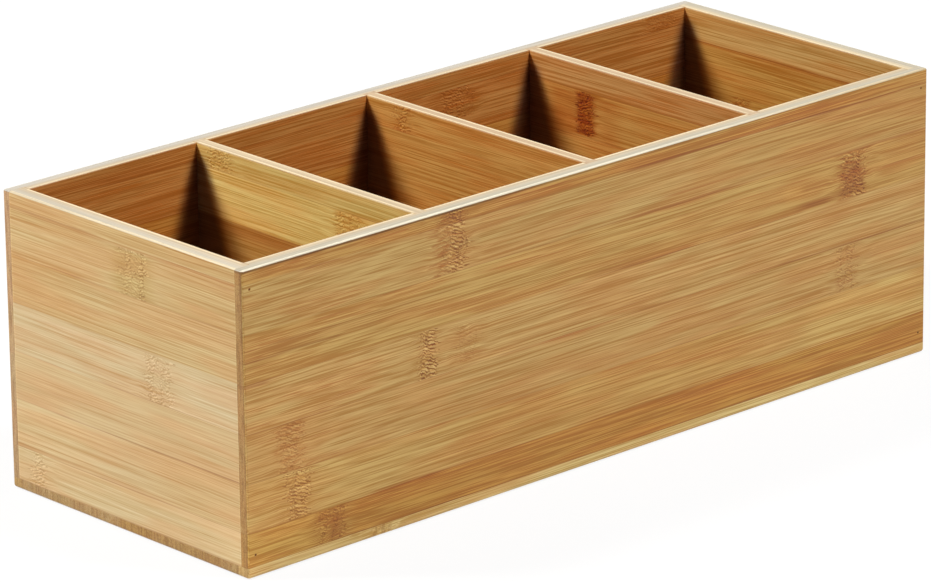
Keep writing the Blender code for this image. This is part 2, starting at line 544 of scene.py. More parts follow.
class BambooShader:
    """One board's shader under construction, on which each method lays one layer of the look."""

    colour: Operand
    order: Wire
    bold: Wire
    seam: Wire
    halo: Wire
    relief: Wire
    outline: Wire
    knuckle_stain: Wire
    strokes: Wire
    fibre: Wire
    threads: Wire
    fine: Wire
    bands: Wire
    patches: Wire
    lines: Wire

    def __init__(self, bamboo: Bamboo) -> None:
        """Reads the place on the board.

        Args:
            bamboo: The board's bamboo.
        """
        self.bamboo = bamboo
        self.graph = MaterialGraph(bamboo.name)
        self.point = self.graph.split(self.graph.point)
        self.facing = [abs(part) for part in self.graph.split(self.graph.normal)]
        self.along, self.across, self.through = (self.point[axis] for axis in bamboo.grain.value)

    def finished(self) -> bpy.types.Material:
        """Lays every layer and ends the shader.

        Returns:
            The board's material.
        """
        bamboo = self.bamboo
        self.lay_strips()
        self.place_knuckles()
        self.run_fibres()
        self.streak()
        self.draw_lines()
        self.stain()
        self.tint(self.seam * self.patches.rise(0.38, 0.62) * 0.55, DEEP_BROWN)
        self.draw_knuckles()
        self.speckle_end_grain()
        if bamboo.faces:
            self.tint_inner_face_with_painted_light()
            self.paint_corner_shade()
            self.paint_rim_sheen()
        if bamboo.edge_tints:
            self.paint_upright_edge_light()
        height = self.fine * 0.5 - self.lines * 0.6 - self.seam * 0.4 + self.strokes * self.relief
        return self.graph.finish({
            "Base Color": self.colour, "Roughness": 0.40 + 0.16 * self.fine,
            "Specular IOR Level": bamboo.specular,
            "Normal": self.graph.bump(height, strength=0.45, distance=0.00010),
            "Coat Weight": bamboo.coat_weight, "Coat Roughness": bamboo.coat_roughness})

    def tint(self, strength: Operand, tint: Operand) -> None:
        """Multiplies the colour by a tint where the strength is one."""
        self.colour = self.graph.mix(strength, self.colour, self.colour * tint)

    def grains(self, sizes: tuple[float, float, float], detail: float = 1.0, roughness: float = 0.5,
               distortion: float = 0.0, shift: Operand | None = None) -> Wire:
        """Noise fixed to the board.

        Args:
            sizes: A grain's length, width and depth in millimetres.
            detail: Number of finer layers.
            roughness: Weight of the finer layers.
            distortion: How far the noise is bent by itself.
            shift: How far the noise is moved along, or the board's seed.

        Returns:
            The noise.
        """
        shift = self.bamboo.seed if shift is None else shift
        length, width, depth = sizes
        place = self.graph.join(self.along / length + shift, self.across / width, self.through / depth)
        return self.graph.noise(place, detail, roughness, distortion)

    def fibres(self, length: float, width: float, detail: float = 1.0, roughness: float = 0.5) -> Wire:
        """Noise whose grains follow the fibres and are so many millimetres long and wide."""
        return self.graph.noise(self.fibre * (1 / length, 1 / width, 1 / width), detail, roughness)

    def lay_strips(self) -> None:
        """Gives each strip its tone, number and boldness, and finds the thin line at its joints."""
        bamboo = self.bamboo
        boldness = bamboo.boldness or (1.0,) * len(bamboo.tones)
        self.colour = bamboo.tones[0]
        self.order = self.across * 0.0
        self.bold = self.order + boldness[0]
        nearest = abs(self.across - bamboo.joints[0])
        for index, joint in enumerate(bamboo.joints):
            past = self.across.above(joint)
            self.colour = self.graph.mix(past, self.colour, bamboo.tones[index + 1])
            self.order = self.order + past
            self.bold = self.bold + past * (boldness[index + 1] - boldness[index])
            nearest = nearest.smaller(abs(self.across - joint))
        self.seam = nearest.fall(0.05, 0.42)

    def place_knuckles(self) -> None:
        """Finds the knuckles, their upright columns, their stain and the disturbed wood round them."""
        none = self.across * 0.0
        relief, stain, self.halo = none, none, none
        ragged = self.grains((9.0, 0.80, 4.0))
        blots = self.grains((5.0, 1.4, 2.0), detail=2.0, roughness=0.6)
        pushed = self.along + (ragged - 0.5) * 13.0
        for knuckle in self.bamboo.knuckles:
            half = knuckle.across.half
            inside = abs(self.across - knuckle.across.middle).fall(half - 0.5, half + 0.1)
            from_middle = abs(pushed - knuckle.along.middle)
            half = knuckle.along.half
            relief = relief.larger(from_middle.fall(half - 0.8, half + 0.5) * inside * knuckle.relief)
            stain = stain.larger(from_middle.fall(half - 2.0, half + 3.5) * inside * knuckle.stain)
            self.halo = self.halo.larger(from_middle.fall(half - 1.0, half + 12.0) * inside)
        columns = self.grains((2.6, 9.0, 9.0))
        self.outline = abs(columns - 0.47).fall(0.0, 0.035) * relief
        self.relief = relief * (0.45 + 0.55 * columns.rise(0.42, 0.52))
        self.knuckle_stain = stain * blots.rise(0.42, 0.60)
        self.strokes = self.knuckle_strokes(columns.above(0.47) * 2 - 1)

    def knuckle_strokes(self, side: Wire) -> Wire:
        """Ribs of a knuckle, which slant to and fro from column to column, and crumbs between them.

        Args:
            side: Minus one and one by turns, from column to column.

        Returns:
            From minus one for dark to one for pale.
        """
        wobble = self.grains((2.4, 2.8, 3.0), detail=2.0, roughness=0.6)
        turns = (self.across + self.along * (side * 0.40)) / self.bamboo.rib_pitch + (wobble - 0.5) * 2.4
        ribs = self.graph.maths("SINE", turns * (2 * math.pi))
        crumbs = self.grains((1.8, 0.80, 1.9), distortion=0.5).rise(0.38, 0.62) * 2 - 1
        return (ribs * 1.05 + crumbs * 0.50).smaller(1.0).larger(-1.0)

    def run_fibres(self) -> None:
        """Lets the fibres run, bent a little, broken at each joint and disturbed round each knuckle."""
        bamboo = self.bamboo
        shift = self.order * 61.7 + bamboo.seed
        slow = self.grains((110.0, 14.0, 14.0), shift=shift)
        quick = self.grains((9.0, 3.0, 3.0), shift=shift)
        bend = (slow - 0.5) * 1.2 + (quick - 0.5) * self.halo * 2.2
        self.fibre = self.graph.join(self.along + shift * 3.0, self.across + bend + shift, self.through)
        broken = self.halo
        if bamboo.dashed:
            half = bamboo.dashed.half
            broken = broken.larger(abs(self.along - bamboo.dashed.middle).fall(half - 20.0, half + 20.0))
        long = self.fibres(95.0, bamboo.fibre_width * 1.30)
        short = self.fibres(26.0, bamboo.fibre_width * 1.30)
        self.threads = long + (short - long) * broken
        self.fine = self.fibres(24.0, bamboo.fibre_width, detail=2.0, roughness=0.6)
        self.bands = self.fibres(120.0, 3.2, detail=2.0)
        self.patches = self.fibres(50.0, 7.5)

    def streak(self) -> None:
        """Lays patches of another hue and streaks of every width on the strips' tones."""
        bamboo = self.bamboo
        cords = self.fibres(95.0, bamboo.fibre_width * 2.4)
        streaks = ((self.fine - 0.5) * bamboo.fine_contrast + (self.threads - 0.5) * bamboo.thread_contrast
                   + (cords - 0.5) * bamboo.cord_contrast)
        swing = 0.5 + streaks * self.bold + (self.bands - 0.5) * bamboo.band_contrast
        self.colour = self.colour * self.graph.mix(self.patches.rise(0.36, 0.64), OLIVE, ROSY)
        self.colour = self.colour * self.graph.mix(swing, DARK_FIBRE, PALE_FIBRE)

    def draw_lines(self) -> None:
        """Draws thin dark lines, denser in some patches and round the knuckles."""
        dense = (0.2 + 0.8 * self.patches.rise(0.40, 0.60)).larger(self.halo)
        self.lines = self.threads.rise(0.56, 0.66) * dense * self.bamboo.line_strength
        self.tint(self.lines * self.bold, self.bamboo.line_tint)

    def stain(self) -> None:
        """Lays the stains, whose sides follow the fibres."""
        frayed = (self.fine - 0.5) * 1.6 + (self.bands - 0.5) * 2.4
        for stain in self.bamboo.stains:
            half, soft = stain.across.half, stain.side_softness
            sides = (abs(self.across - stain.across.middle) + frayed * soft).fall(half - soft, half + soft)
            half, soft = stain.along.half, stain.end_softness
            ends = abs(self.along - stain.along.middle).fall(half - soft, half)
            self.tint(ends * sides * stain.strength, stain.tint)

    def draw_knuckles(self) -> None:
        """Draws the knuckles: columns of pale and dark strokes, outlined, in browner wood."""
        if not self.bamboo.knuckles:
            return
        dark = self.bamboo.stroke_tint
        self.tint(self.knuckle_stain, RED_BROWN)
        self.tint(self.outline * 0.5, dark)
        before = self.colour
        self.tint(self.strokes.larger(0.0) * self.relief * 0.8, PALE_STROKE)
        strength = (0 - self.strokes).larger(0.0) * self.relief * 0.95
        self.colour = self.graph.mix(strength, self.colour, before * dark)

    def speckle_end_grain(self) -> None:
        """Speckles the faces that cut across the fibres."""
        graph = self.graph
        speckle = graph.noise(graph.join(*[part / 0.42 for part in self.point]), 2.0, 0.6)
        layers = graph.noise(graph.join(*[part / size for part, size in zip(self.point, (3.0, 1.1, 9.0))]))
        grainy = graph.mix((speckle + layers).rise(0.80, 1.25), (1.10, 1.10, 1.10), (0.76, 0.68, 0.60))
        cut = graph.mix(0.6, self.colour, self.bamboo.end_tone) * grainy
        self.colour = graph.mix(self.facing[self.bamboo.grain.value[0]].rise(0.60, 0.90), self.colour, cut)

    def tint_inner_face_with_painted_light(self) -> None:
        """Tints one face of the board with painted light: painted shade on a side turned from the camera, or
        a warmer tone with painted bounce light on one that looks into a compartment.
        """
        faces = self.bamboo.faces
        before_end = 1 - self.through.above(faces.tinted.end)
        # Painted light on one face: painted shade, or a warmer tone with painted bounce light
        self.tint(self.through.above(faces.tinted.start) * before_end, faces.tint)

    def paint_corner_shade(self) -> None:
        """Paints shade into the colour of the compartments' upright corners: a painted shadow wedge, wider
        further down.
        """
        faces = self.bamboo.faces
        depth = self.bamboo.rim.height - self.point[2]
        if self.bamboo.grain is Grain.LENGTHWISE_UPRIGHT:
            turn = self.graph.maths("FRACT", self.along / COMPARTMENT_PITCH + 8.0) - 0.5
            from_corner = COMPARTMENT_LENGTH / 2 - abs(turn) * COMPARTMENT_PITCH
        else:
            from_corner = COMPARTMENT_WIDTH / 2 - abs(self.along)
        reach = from_corner - depth.smaller(40.0) * faces.corner_growth - faces.corner_reach
        on_face = self.from_inner_face().fall(0.5, 0.7)
        # Painted shade: the corner wedge grows with depth like a cast shadow
        self.tint(reach.fall(-1.0, 7.0) * depth.rise(1.0, 9.0) * on_face, PAINTED_CORNER_SHADE)

    def from_inner_face(self) -> Wire:
        """Distance through the board from the nearest face that looks into a compartment."""
        first, *others = [abs(self.through - face) for face in self.bamboo.faces.inner]
        return first.smaller(others[0]) if others else first

    def paint_rim_sheen(self) -> None:
        """Paints sheen on the top of the rim, with a painted highlight as a brighter line along each arris.
        """
        graph, rim, faces = self.graph, self.bamboo.rim, self.bamboo.faces
        inset = self.from_inner_face()
        # Painted sheen on the rim's top, and painted highlights along its arrises
        tone = graph.mix(inset.rise(1.2, 5.0), rim.inner_tone, rim.outer_tone)
        inner_line = inset.rise(0.50, 0.90) * inset.fall(1.10, 1.80)
        if self.bamboo.grain is Grain.CROSSWISE_UPRIGHT:
            end = COMPARTMENT_WIDTH / 2
            inner_line = inner_line * abs(self.along).fall(end - 0.4, end + 0.8)
        tone = graph.mix(inner_line, tone, rim.inner_line)
        if faces.outer is not None:
            outer_line = rim.outer_line
            if rim.warming:
                warmth = self.along.rise(rim.warming.start, rim.warming.end)
                outer_line = graph.mix(warmth, outer_line, rim.warm_line)
            tone = graph.mix(abs(self.through - faces.outer).fall(0.70, 1.40), tone, outer_line)
        grain = self.threads * 0.6 + self.fine * 0.4
        tone = tone * graph.mix(grain.rise(0.38, 0.62), (0.84, 0.84, 0.84), (1.08, 1.08, 1.08))
        near_top = self.point[2].rise(rim.height - 2.0, rim.height - 0.8)
        upwards = self.facing[2]
        # Painted shade on the rounded arris below the rim's top
        self.tint(upwards.rise(0.15, 0.50) * near_top, ROUNDED_ARRIS_PAINTED_SHADE)
        on_top = upwards.rise(0.30, 0.60) * inset.rise(0.10, 0.42) * near_top
        self.colour = graph.mix(on_top, self.colour, tone)

    def paint_upright_edge_light(self) -> None:
        """Paints light onto the upright edges at the board's two ends, one tint for each end: a painted
        highlight where it is pale, painted shade where it is dark.
        """
        squarest = self.facing[0].larger(self.facing[1]).larger(self.facing[2])
        edge = squarest.fall(0.80, 0.97) * self.facing[2].fall(0.1, 0.4)
        low, high = self.bamboo.edge_tints
        # Painted highlight and painted shade on the rounded upright edges, one tint for each end
        self.tint(edge, self.graph.mix(self.along.above(0.0), low, high))


# Tones of the strips
HONEY = srgb(178, 138, 74)
WHEAT = srgb(187, 146, 78)
TAN = srgb(183, 141, 77)
GOLD = srgb(179, 137, 69)
CARAMEL = srgb(180, 133, 58)
SADDLE = srgb(176, 129, 60)
CREAM = srgb(188, 160, 114)
STRAW = srgb(190, 158, 108)
AMBER = srgb(188, 133, 63)
RUSSET = srgb(188, 132, 71)
BUFF = srgb(183, 150, 96)
TAWNY = srgb(187, 154, 104)
GINGER = srgb(186, 140, 70)
LEMON = srgb(221, 187, 109)
CORN = srgb(204, 172, 106)
MAPLE = srgb(195, 156, 95)
IVORY = srgb(198, 169, 120)
HAZEL = srgb(194, 137, 66)
HAY = srgb(211, 179, 104)

STRIP_WIDTH = 18.9
LOWEST_JOINT = 17.3

# The compartments, in millimetres
COMPARTMENT_LENGTH = 80.95
COMPARTMENT_WIDTH = 120.6
COMPARTMENT_PITCH = 86.55
OPEN_SPACE = 20.0

# The boards, in millimetres from the middle of the box
WALL_OUTER_FACE = 67.5
END_INNER_FACE = 170.3
END_OUTER_FACE = 177.5
HALF_DIVIDER = 2.8
SKIN = 0.5


def looking_in(side: int, face: float) -> Span:
    """Span that holds a board's inner face, from the open compartment to just under its skin."""
    return Span(*sorted((side * (face - OPEN_SPACE), side * (face + SKIN))))


def wall_faces(side: int, tint: Colour) -> Faces:
    """Faces of a long wall; the side is minus one for the front, one for the back."""
    face = COMPARTMENT_WIDTH / 2
    return Faces((side * face,), side * WALL_OUTER_FACE, looking_in(side, face), tint, -2.5, 0.30)


def end_faces(side: int, tint: Colour) -> Faces:
    """Faces of an end board; the side is minus one for the left, one for the right."""
    face = END_INNER_FACE
    return Faces((side * face,), side * END_OUTER_FACE, looking_in(side, face), tint, 0.0, 0.33)


def divider_faces(place: int) -> Faces:
    """Faces of a divider.

    Args:
        place: Minus one for the left, nought for the middle, one for the right.

    Returns:
        The faces.
    """
    middle = place * COMPARTMENT_PITCH
    faces = (middle - HALF_DIVIDER, middle + HALF_DIVIDER)
    return Faces(faces, None, Span(middle, middle + OPEN_SPACE), HIDDEN_SIDE_PAINTED_SHADE, 0.0, 0.33)


def strip_joints(lowest: float, count: int) -> tuple[float, ...]:
    """Heights of a board's joints between strips."""
    return tuple(lowest + STRIP_WIDTH * step for step in range(count))


def front_wall_bamboo() -> Bamboo:
    """The front wall's strips, knuckles and stains, as seen from outside."""
    knuckles = (
        Knuckle(Span(-77.5, -69), Span(92.8, 117.5), 0.85, 0.2),
        Knuckle(Span(-83.5, -77.5), Span(92.8, 117.5), 0.35, 0.7),
        Knuckle(Span(-92.5, -85), Span(55.0, 73.9), 1.00, 0.1),
        Knuckle(Span(-74, -63), Span(57.0, 71.9), 0.22, 0.2),
        Knuckle(Span(-162, -150), Span(36.1, 55.0), 0.45, 0.6),
        Knuckle(Span(-159, -147), Span(17.3, 36.1), 0.75, 0.1),
        Knuckle(Span(-144, -130), Span(4.15, 17.3), 0.65, 0.4),
        Knuckle(Span(136, 143), Span(73.9, 92.8), 0.95, 0.6),
        Knuckle(Span(129, 137), Span(73.9, 92.8), 0.65, 0.9),
        Knuckle(Span(127, 138), Span(36.1, 55.0), 0.45, 0.4),
    )
    stains = (
        Stain(Span(-185, 185), Span(4.0, 4.6), DEEP_BROWN, 0.55, 1.0, 0.2),
        # Painted shade along the rounded outer arris under the rim, not a stain
        Stain(Span(-400, 140), Span(116.3, 117.1), OUTER_ARRIS_PAINTED_SHADE, 0.90, 240.0, 0.15),
        Stain(Span(-178, -88), Span(113.0, 116.0), RED_BROWN, 0.08),
        Stain(Span(-82, -66), Span(111.5, 115.5), KNUCKLE_RED, 0.35, 5.0, 0.8),
        Stain(Span(-50, 185), Span(112.4, 115.8), ORANGE, 0.75, 40.0, 0.6),
        Stain(Span(80, 185), Span(112.0, 116.2), ORANGE, 0.40, 20.0, 0.6),
        Stain(Span(5, 185), Span(111.5, 112.4), KNUCKLE_RED, 0.60, 14.0, 0.5),
        Stain(Span(-60, 5), Span(114.6, 115.4), KNUCKLE_RED, 0.45, 14.0, 0.4),
        Stain(Span(45, 185), Span(96.0, 111.7), ORANGE, 0.35, 8.0, 0.6),
        Stain(Span(80, 215), Span(74.0, 111.7), ORANGE, 0.36, 30.0, 0.6),
        Stain(Span(-90, 100), Span(17.4, 36.1), ORANGE, 0.50, 40.0, 0.6),
        Stain(Span(-185, -85), Span(82.6, 86.4), RED_BROWN, 0.35),
        Stain(Span(-185, -128), Span(82.0, 82.9), DEEP_BROWN, 0.50, 6.0, 0.4),
        Stain(Span(-185, -60), Span(86.4, 87.2), DEEP_BROWN, 0.30, 20.0, 0.4),
        Stain(Span(-10, 185), Span(92.2, 93.8), RED_BROWN, 0.50, 30.0, 0.7),
        Stain(Span(-15, 54), Span(74.2, 75.6), RED_BROWN, 0.75, 10.0, 0.7),
        Stain(Span(100, 133), Span(74.8, 77.6), KNUCKLE_RED, 0.70, 14.0, 0.8),
        Stain(Span(127, 144), Span(75.0, 86.0), KNUCKLE_RED, 0.60, 6.0, 3.0),
        Stain(Span(-141, -130), Span(5.0, 14.0), KNUCKLE_RED, 0.50, 5.0, 2.5),
        Stain(Span(-185, -163), Span(73.0, 74.0), DEEP_BROWN, 0.6, 6.0, 0.4),
        Stain(Span(-56, 12), Span(54.2, 54.9), RED_BROWN, 0.55, 8.0, 0.4),
        Stain(Span(-55, 0), Span(57.6, 59.4), RED_BROWN, 0.30, 14.0, 0.6),
        Stain(Span(92, 185), Span(55.1, 55.9), DEEP_BROWN, 0.45, 8.0, 0.4),
        Stain(Span(-120, -25), Span(35.0, 36.1), RED_BROWN, 0.70, 20.0, 0.7),
        Stain(Span(92, 155), Span(35.0, 36.0), RED_BROWN, 0.55, 12.0, 0.6),
        Stain(Span(-130, 185), Span(4.0, 17.3), ORANGE, 0.55, 6.0, 0.4),
        Stain(Span(-10, 110), Span(4.0, 17.3), ORANGE, 0.30, 30.0, 0.4),
        Stain(Span(-125, -76), Span(16.2, 18.2), RED_BROWN, 0.75, 14.0, 0.7),
        Stain(Span(45, 125), Span(13.2, 14.6), RED_BROWN, 0.40, 16.0, 0.7),
        Stain(Span(96, 110), Span(79.5, 86.0), PALE, 0.60, 5.0, 1.0),
        Stain(Span(105, 185), Span(17.3, 36.1), PALE, 0.60, 16.0, 0.5),
        Stain(Span(-185, -144), Span(4.0, 17.3), PALE, 0.55, 6.0, 0.4),
    )
    tones = (CARAMEL, WHEAT, TAN, TAN, GOLD, HONEY, SADDLE)
    return Bamboo("front_wall_bamboo", Grain.LENGTHWISE_UPRIGHT, strip_joints(LOWEST_JOINT, 6), tones,
                  knuckles, stains, seed=3.0, boldness=(1.5, 1.0, 0.9, 1.1, 1.2, 1.0, 1.7),
                  dashed=Span(-190.0, -98.0), faces=wall_faces(-1, HIDDEN_SIDE_PAINTED_SHADE), end_tone=srgb(137, 102, 56),
                  rim=Rim(warming=Span(30.0, 150.0)), edge_tints=(PAINTED_HIGHLIGHT_ON_UPRIGHT_EDGE, PAINTED_SHADE_ON_UPRIGHT_EDGE))


def back_wall_bamboo() -> Bamboo:
    """The back wall's bamboo, redder and more strongly lined inside."""
    knuckles = (
        Knuckle(Span(36, 53), Span(97.5, 110.5), 0.55, 0.3),
        Knuckle(Span(150, 165), Span(110.5, 117.5), 0.35, 0.4),
        Knuckle(Span(-120, -112), Span(54.0, 73.0), 0.75, 0.3),
        Knuckle(Span(-30, -18), Span(16.4, 35.2), 0.45, 0.5),
        Knuckle(Span(88, 97), Span(73.0, 91.8), 0.70, 0.4),
    )
    stains = (
        Stain(Span(-185, -100), Span(111.0, 113.0), RED_BROWN, 0.35),
        Stain(Span(-70, 20), Span(93.0, 95.5), RED_BROWN, 0.45, 20.0),
        Stain(Span(40, 160), Span(76.0, 78.0), RED_BROWN, 0.40, 20.0),
        Stain(Span(-150, -40), Span(34.0, 36.0), ORANGE, 0.60, 20.0),
    )
    tones = (CARAMEL, AMBER, TAN, CARAMEL, AMBER, RUSSET, RUSSET)
    return Bamboo("back_wall_bamboo", Grain.LENGTHWISE_UPRIGHT, strip_joints(16.0, 6), tones, knuckles,
                  stains, seed=23.0, boldness=(1.3,) * 7, line_tint=RED_LINE, end_tone=srgb(160, 140, 110),
                  edge_tints=(PAINTED_SHADE_ON_UPRIGHT_EDGE, PAINTED_SHADE_ON_UPRIGHT_EDGE), faces=wall_faces(1, WARM_TONE_AND_PAINTED_BOUNCE),
                  rim=Rim(outer_tone=srgb(168, 160, 146), outer_line=srgb(176, 168, 152)))


def left_end_bamboo() -> Bamboo:
    """The left end board's strips, paler than the walls."""
    knuckles = (
        Knuckle(Span(-6.5, 0.5), Span(92.7, 111.2), 0.55, 0.15),
        Knuckle(Span(-13.5, -6.5), Span(92.7, 111.2), 1.00, 0.15),
        Knuckle(Span(-12, -27.5), Span(55.0, 73.4), 0.60, 0.05),
        Knuckle(Span(56, 48.5), Span(4.15, 17.5), 0.55, 0.05),
    )
    stains = (
        Stain(Span(-70, 70), Span(4.0, 4.6), DEEP_BROWN, 0.55, 1.0, 0.2),
        Stain(Span(-64.3, -63.2), Span(0, 120), PALE, 0.80, 0.3, 0.2),
        Stain(Span(62.9, 64.3), Span(0, 120), PALE, 0.80, 0.3, 0.2),
        Stain(Span(-22, 9), Span(93.5, 110.4), OLIVE_SCAR, 0.70, 9.0, 1.0),
        Stain(Span(-80, 25), Span(111.8, 120.0), ORANGE, 0.45, 30.0, 0.5),
        Stain(Span(0, 90), Span(111.8, 120.0), ORANGE, 0.25, 20.0, 0.5),
        Stain(Span(-80, -12), Span(93.0, 111.0), ORANGE, 0.35, 25.0, 0.6),
        Stain(Span(5, 90), Span(17.4, 36.3), PALE, 0.35, 30.0, 0.4),
        Stain(Span(-80, -5), Span(17.4, 36.3), ORANGE, 0.30, 30.0, 0.4),
        Stain(Span(20, 80), Span(92.0, 93.4), ORANGE, 0.9, 10.0, 0.8),
        Stain(Span(-70, 70), Span(110.7, 111.8), RED_BROWN, 0.45, 5.0, 0.5),
        Stain(Span(10, 80), Span(107.5, 111.5), ORANGE, 0.35, 14.0, 1.0),
        Stain(Span(15, 80), Span(74.0, 92.5), ORANGE, 0.35, 22.0, 1.0),
        Stain(Span(20, 80), Span(17.6, 19.0), RED_BROWN, 0.50, 10.0, 0.6),
        Stain(Span(-70, 45), Span(35.9, 36.6), DEEP_BROWN, 0.50, 10.0, 0.3),
    )
    tones = (IVORY, STRAW, TAWNY, CREAM, BUFF, BUFF, BUFF)
    return Bamboo("left_end_bamboo", Grain.CROSSWISE_UPRIGHT, strip_joints(17.4, 6), tones, knuckles, stains,
                  seed=41.0, boldness=(0.50, 0.50, 0.42, 0.52, 0.58, 0.58, 0.68), line_strength=0.8,
                  stroke_tint=FAINT_STROKE,
                  faces=end_faces(-1, HIDDEN_SIDE_PAINTED_SHADE),
                  rim=Rim(outer_tone=srgb(171, 160, 140), outer_line=srgb(192, 176, 144)))


def right_end_bamboo() -> Bamboo:
    """The right end board's strips."""
    knuckles = (
        Knuckle(Span(24, 33), Span(67.1, 86.0), 0.55, 0.9),
        Knuckle(Span(-40, -31), Span(48.2, 67.1), 0.65, 0.4),
        Knuckle(Span(20, 30), Span(10.5, 29.4), 0.60, 0.5),
    )
    stains = (
        Stain(Span(-70, 70), Span(104.2, 105.6), RED_BROWN, 0.55, 5.0, 0.5),
        Stain(Span(-30, 40), Span(48.4, 50.0), RED_BROWN, 0.45, 14.0, 0.6),
    )
    tones = (TAWNY, GINGER, BUFF, TAN, SADDLE, GINGER, MAPLE)
    return Bamboo("right_end_bamboo", Grain.CROSSWISE_UPRIGHT, strip_joints(10.5, 6), tones, knuckles, stains,
                  seed=59.0, line_tint=RED_LINE, faces=end_faces(1, WARM_TONE_AND_PAINTED_BOUNCE),
                  rim=Rim(inner_tone=srgb(188, 171, 139), outer_line=srgb(180, 169, 145)))


def divider_bamboos() -> tuple[Bamboo, Bamboo, Bamboo]:
    """Bamboo of the left, middle and right dividers."""
    left = Bamboo(
        "left_divider_bamboo", Grain.CROSSWISE_UPRIGHT, strip_joints(14.7, 6),
        (AMBER, CARAMEL, BUFF, AMBER, TAN, LEMON, HAY),
        (Knuckle(Span(41, 54), Span(109.2, 117.5), 0.60, 0.3),
         Knuckle(Span(-35, -18), Span(90.9, 109.2), 0.45, 0.5)),
        (Stain(Span(-70, 70), Span(109.0, 120.0), ORANGE, 0.30, 4.0, 0.5),
         Stain(Span(-20, 75), Span(72.0, 90.9), ORANGE, 0.80, 30.0, 1.0),
         Stain(Span(-50, 70), Span(86.0, 91.2), RED_BROWN, 0.45, 30.0, 1.0),
         Stain(Span(-80, 60), Span(90.9, 109.2), ORANGE, 0.25, 20.0, 0.5),
         Stain(Span(-40, -16), Span(99.0, 109.2), ORANGE, 0.60, 6.0, 0.8)), seed=71.0,
        boldness=(0.8,) * 7, line_strength=0.6,
        faces=divider_faces(-1), rim=Rim(outer_tone=srgb(176, 155, 121)))
    middle = Bamboo(
        "middle_divider_bamboo", Grain.CROSSWISE_UPRIGHT, strip_joints(12.5, 6),
        (BUFF, AMBER, CARAMEL, AMBER, AMBER, AMBER, HAZEL),
        (Knuckle(Span(36, 44.5), Span(107.0, 117.5), 0.70, 0.5),), (), seed=83.0, line_tint=RED_LINE,
        faces=divider_faces(0),
        rim=Rim(inner_tone=srgb(168, 142, 110), outer_tone=srgb(168, 142, 110)))
    right = Bamboo(
        "right_divider_bamboo", Grain.CROSSWISE_UPRIGHT, strip_joints(12.8, 6),
        (AMBER, BUFF, CARAMEL, AMBER, AMBER, AMBER, RUSSET),
        (Knuckle(Span(24.5, 32.5), Span(88.7, 107.0), 1.00, 1.0),),
        (Stain(Span(21.0, 35.5), Span(89.5, 106.5), KNUCKLE_RED, 1.0, 5.0, 1.2),
         Stain(Span(28, 52), Span(88.0, 106.0), RED_BROWN, 0.8, 9.0, 1.0),
         Stain(Span(4, 27), Span(88.0, 106.0), RED_BROWN, 0.5, 12.0, 1.0)), seed=97.0, line_tint=RED_LINE,
        faces=divider_faces(1), rim=Rim(inner_tone=srgb(170, 145, 113), outer_tone=srgb(170, 145, 113)))
    return left, middle, right


def base_bamboo() -> Bamboo:
    """The base panel's strips, laid flat and seen at their edges."""
    joints = (-62.0, -52.0, -30.5, -13.5, 5.0, 20.5, 33.5, 44.0, 62.0)
    tones = (CORN, BUFF, TAN, TAN, CARAMEL, STRAW, STRAW, BUFF, STRAW, CORN)
    knuckles = (Knuckle(Span(-118, -109), Span(-70, -60), 0.35, 0.2),
                Knuckle(Span(60, 74), Span(5.0, 20.5), 0.5, 0.4))
    return Bamboo("base_bamboo", Grain.LENGTHWISE_FLAT, joints, tones, knuckles, (), seed=113.0)


# Other finishes


@dataclass(frozen=True)
class PinSteel:
    """Dull wire steel, drawn along the pin and browned in patches."""

    bright: Colour = srgb(150, 142, 132)
    browned: Colour = srgb(96, 74, 56)

    def material(self) -> bpy.types.Material:
        """Builds the shader.

        Returns:
            The pins' material.
        """
        graph = MaterialGraph("drawn_pin_steel")
        drawn = graph.noise(graph.point * (9.0, 0.6, 9.0), 2.0)
        brown = graph.noise(graph.point * 0.9, 3.0).rise(0.45, 0.62)
        return graph.finish({
            "Base Color": graph.mix(brown, self.bright, self.browned), "Metallic": 1 - 0.7 * brown,
            "Roughness": 0.32 + 0.25 * brown + 0.1 * drawn,
            "Normal": graph.bump(drawn, strength=0.3, distance=0.00002)})


@dataclass(frozen=True)
class Filler:
    """Wood filler over a sunk pin, dark where the pin shows through."""

    places: "PinPlaces"
    dark: Colour = srgb(96, 48, 20)
    dusty: Colour = srgb(176, 134, 76)
    dark_radius: float = 0.42

    def material(self) -> bpy.types.Material:
        """Builds the shader.

        Returns:
            The fillers' material.
        """
        graph = MaterialGraph("dark_wood_filler")
        x, _, z = graph.split(graph.point)
        from_axis = self.places.from_axis(graph, abs(x), z)
        crumbs = graph.noise(graph.point / 0.22, 3.0, 0.6)
        dusty = (from_axis + crumbs * 0.3).rise(self.dark_radius, self.dark_radius + 0.3)
        return graph.finish({
            "Base Color": graph.mix(dusty, self.dark, self.dusty), "Specular IOR Level": 0.15,
            "Roughness": 0.60 + 0.22 * crumbs, "Normal": graph.bump(crumbs, strength=0.4, distance=0.00004)})


# Sizes


